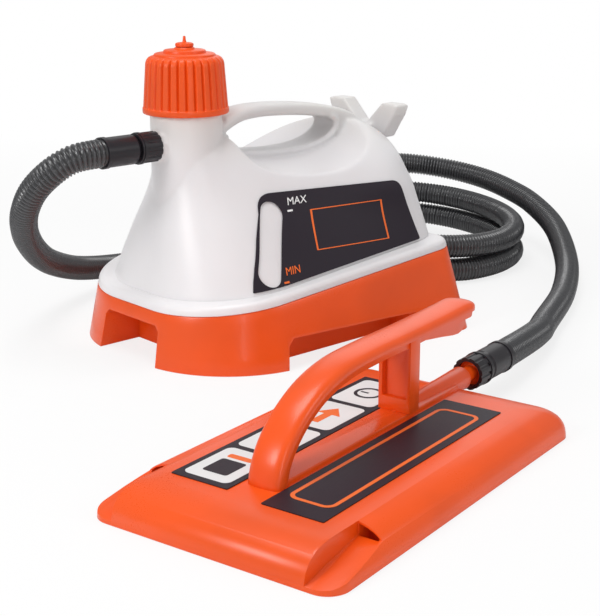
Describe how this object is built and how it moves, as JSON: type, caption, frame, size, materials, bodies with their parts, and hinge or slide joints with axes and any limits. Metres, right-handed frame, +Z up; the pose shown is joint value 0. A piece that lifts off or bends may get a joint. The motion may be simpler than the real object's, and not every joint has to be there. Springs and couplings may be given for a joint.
{
  "type": "wallpaper steamer",
  "caption": "Wallpaper steamer with a translucent water tank on a flared base, a fluted screw cap, a ribbed hose and a hand-held steam plate.",
  "frame": {"origin": "middle of the base unit and steam plate together, seen from above, on the surface they stand on", "axes": "+X from the filler neck towards the rear of the tank, +Y towards the tank's far side, +Z up"},
  "size_m": [0.722, 0.5876, 0.2408],
  "materials": {
    "orange_shell": "satin orange moulding with a fine spark texture",
    "orange_cap": "satin orange moulding",
    "tank_plastic": "milky translucent blow moulding, soft satin",
    "black_moulding": "black moulded plastic, satin",
    "ribbed_hose": "flexible ribbed hose, satin",
    "label_film": "dark printed film, smooth satin",
    "black_rubber": "moulded rubber",
    "grey_plastic": "dark grey moulding",
    "white_plastic": "white heat-resistant moulding",
    "brass": "turned brass",
    "heater_steel": "drawn tube, faintly scaled",
    "screw_steel": "bright plated steel"
  },
  "bodies": {
    "steamer": {"base_housing": "orange_shell", "base_cover": "grey_plastic", "cover_screws": "screw_steel", "deck_screws": "screw_steel", "cord_gland": "black_rubber", "cable_clamp": "grey_plastic", "terminal_block": "white_plastic", "thermal_cutout": "white_plastic", "element_nut": "brass", "element_flange": "brass", "element_seal": "black_rubber", "heating_element": "heater_steel", "tank": "tank_plastic", "level_label": "label_film", "outlet_spigot": "black_moulding", "outlet_seal": "black_rubber", "spigot_nut": "brass", "tank_cuff": "black_moulding", "hose_tank_run": "ribbed_hose", "hose_coil": "ribbed_hose", "hose_plate_run": "ribbed_hose", "plate_cuff": "black_moulding"},
    "cap_seal": {"cap_seal": "black_rubber"},
    "cap_liner": {"cap_liner": "white_plastic"},
    "cap": {"cap_shell": "orange_cap", "valve_spring": "screw_steel"},
    "valve": {"valve_pin": "orange_cap"},
    "tank_nut": {"tank_nut": "black_moulding"},
    "plate_nut": {"plate_nut": "black_moulding"},
    "steam_plate": {"plate_shell": "orange_shell", "plate_inlet": "orange_shell", "steam_baffle": "orange_shell", "baffle_screws": "screw_steel", "plate_handle": "orange_shell", "handle_screws": "screw_steel", "name_panel": "label_film", "guide_panel": "label_film"}
  },
  "joints": [
    {"name": "cap_lift", "type": "slide", "parent": "steamer", "child": "cap_seal", "axis": [0, 0, 1], "range_m": [0, 0.08]},
    {"name": "cap_rise", "type": "slide", "parent": "cap_seal", "child": "cap_liner", "axis": [0, 0, 1], "range_m": [0, 0.0062]},
    {"name": "cap_turn", "type": "hinge", "parent": "cap_liner", "child": "cap", "pos_m": [0.0245, 0.13, 0.2], "axis": [0, 0, 1], "range_deg": [0, 540]},
    {"name": "valve_lift", "type": "slide", "parent": "cap", "child": "valve", "axis": [0, 0, 1], "range_m": [0, 0.003], "stiffness_N_per_m": 250, "springref_m": -0.004, "deforming": ["valve_spring"]},
    {"name": "tank_nut_turn", "type": "hinge", "parent": "steamer", "child": "tank_nut", "pos_m": [-0.0147, 0.13, 0.1605], "axis": [-1, 0, 0], "continuous": true},
    {"name": "plate_nut_turn", "type": "hinge", "parent": "steamer", "child": "plate_nut", "pos_m": [0.08735, -0.11213, 0.0215], "axis": [0.977, 0.213, 0], "continuous": true},
    {"name": "plate_pull", "type": "slide", "parent": "steamer", "child": "steam_plate", "axis": [-0.977, -0.213, 0], "range_m": [0, 0.06]}
  ],
  "couplings": [
    {"joint": "cap_rise", "follows": "cap_turn", "m_per_rad": 0.00063662}
  ]
}
